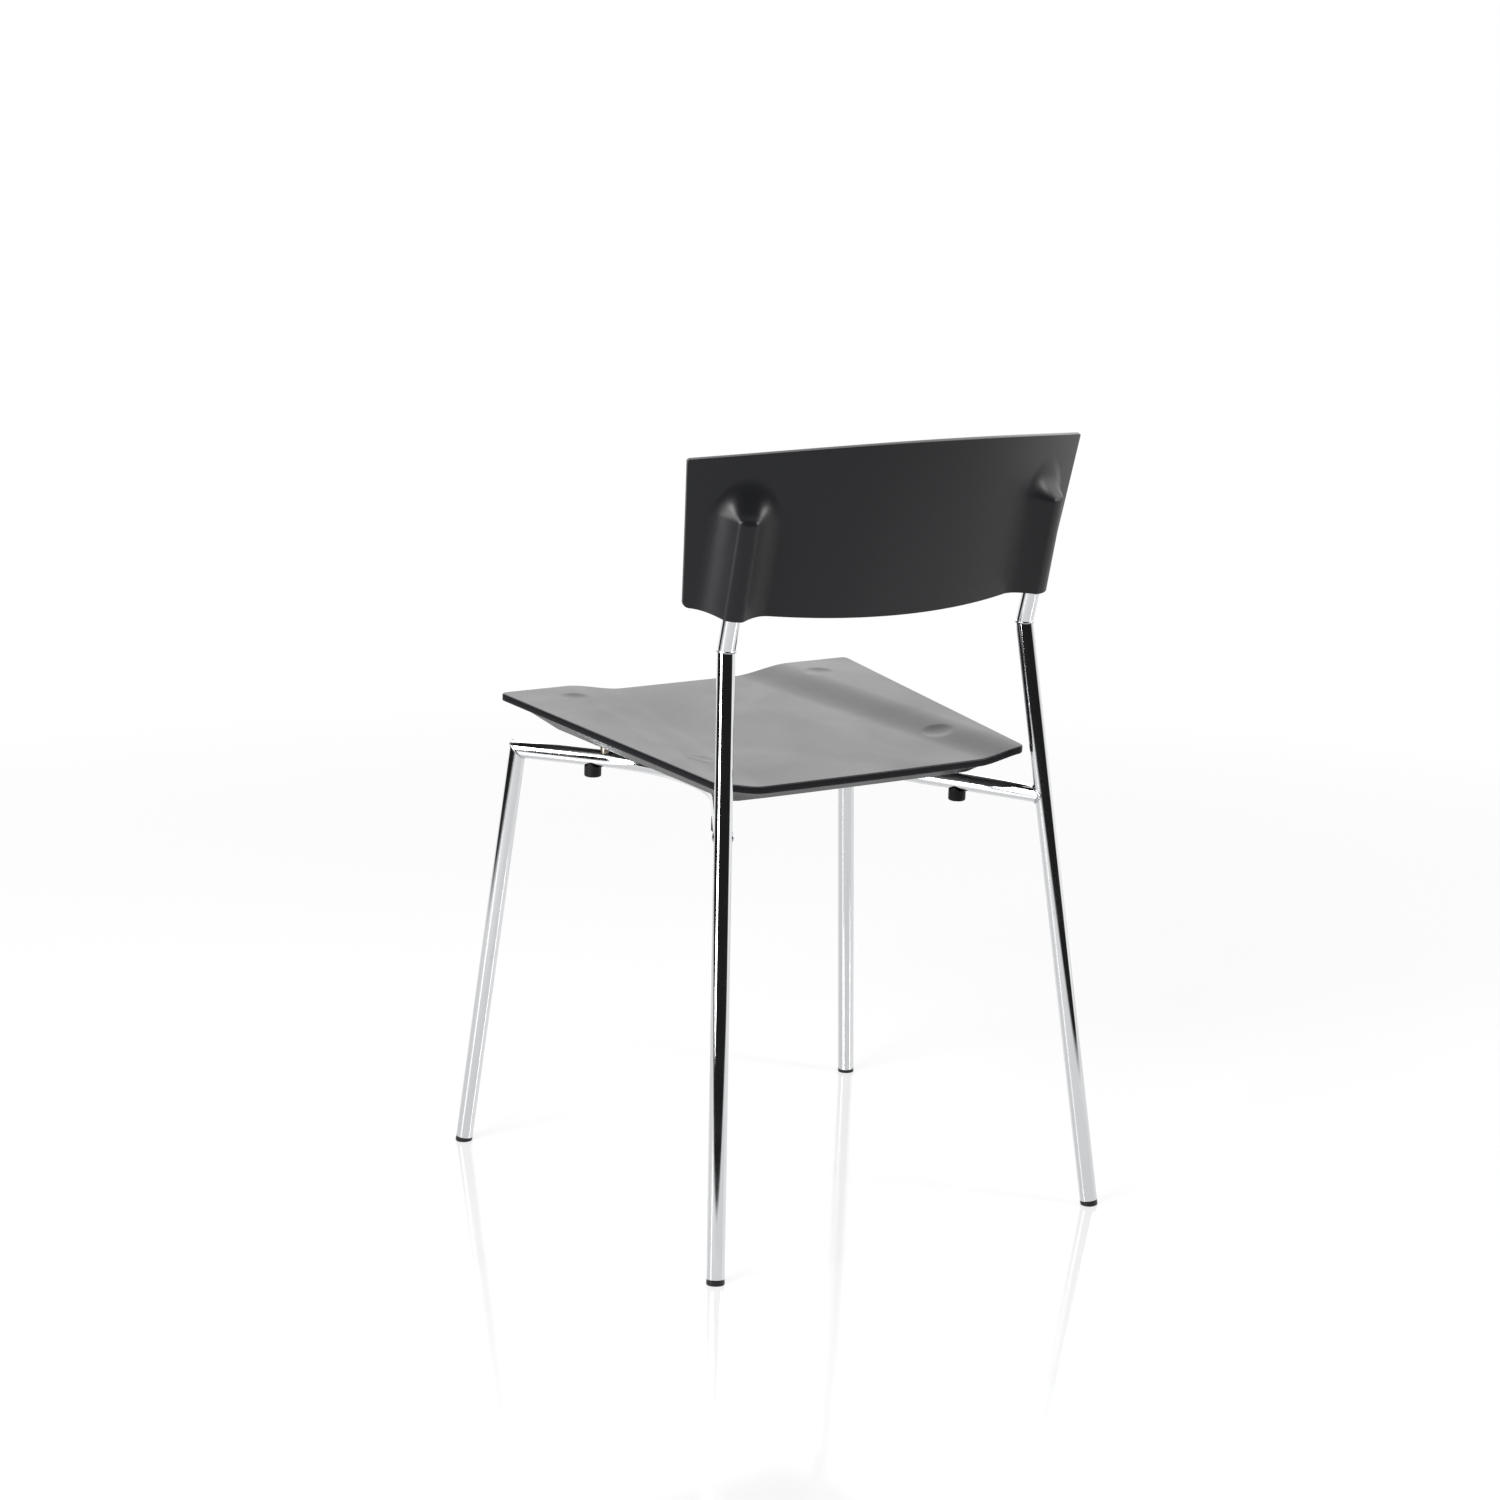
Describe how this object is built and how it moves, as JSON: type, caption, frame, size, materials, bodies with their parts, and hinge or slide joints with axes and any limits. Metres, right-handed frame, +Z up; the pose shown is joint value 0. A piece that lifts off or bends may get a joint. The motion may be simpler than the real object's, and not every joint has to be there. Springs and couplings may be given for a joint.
{
  "type": "stacking chair",
  "caption": "Stacking chair with a slender welded chrome tube frame, a dished black moulded seat and a curved black backrest that slides over the uprights.",
  "frame": {"origin": "on the floor, in the middle of the chair's footprint", "axes": "+Z up; the sitter faces -Y; +X towards the sitter's left, square to the chair's plane of symmetry"},
  "size_m": [0.5146, 0.5089, 0.809],
  "materials": {
    "chromed_tube": "bright chrome plating on drawn steel tube, faint polishing lines along the tube",
    "chromed_weld": "weld bead dressed and plated with the frame, slightly rippled",
    "glide_plastic": "black moulded plastic, scuffed where it meets the floor",
    "buffer_rubber": "black rubber, smooth, slightly shiny",
    "spacer_metal": "bright turned steel",
    "screw_steel": "zinc plated steel",
    "insert_brass": "turned brass",
    "seat_plastic": "black moulded polypropylene, fine satin grain",
    "back_plastic": "black moulded polypropylene, fine satin grain"
  },
  "bodies": {
    "root": {"front_leg_left": "chromed_tube", "front_leg_right": "chromed_tube", "rear_leg_left": "chromed_tube", "rear_leg_right": "chromed_tube", "upright_left": "chromed_tube", "upright_right": "chromed_tube", "side_rail_left": "chromed_tube", "side_rail_right": "chromed_tube", "corner_weld_left": "chromed_weld", "corner_weld_right": "chromed_weld", "upright_weld_left": "chromed_weld", "upright_weld_right": "chromed_weld", "rail_weld_left": "chromed_weld", "rail_weld_right": "chromed_weld", "front_glide_left": "glide_plastic", "front_glide_right": "glide_plastic", "rear_glide_left": "glide_plastic", "rear_glide_right": "glide_plastic", "front_buffer_left": "buffer_rubber", "front_buffer_right": "buffer_rubber", "rear_buffer_left": "buffer_rubber", "rear_buffer_right": "buffer_rubber", "front_spacer_left": "spacer_metal", "front_spacer_right": "spacer_metal", "rear_spacer_left": "spacer_metal", "rear_spacer_right": "spacer_metal", "seat_screws": "screw_steel", "seat_inserts": "insert_brass", "back_screws": "screw_steel", "seat_shell": "seat_plastic", "seat_underpan": "seat_plastic", "backrest": "back_plastic"}
  },
  "joints": []
}
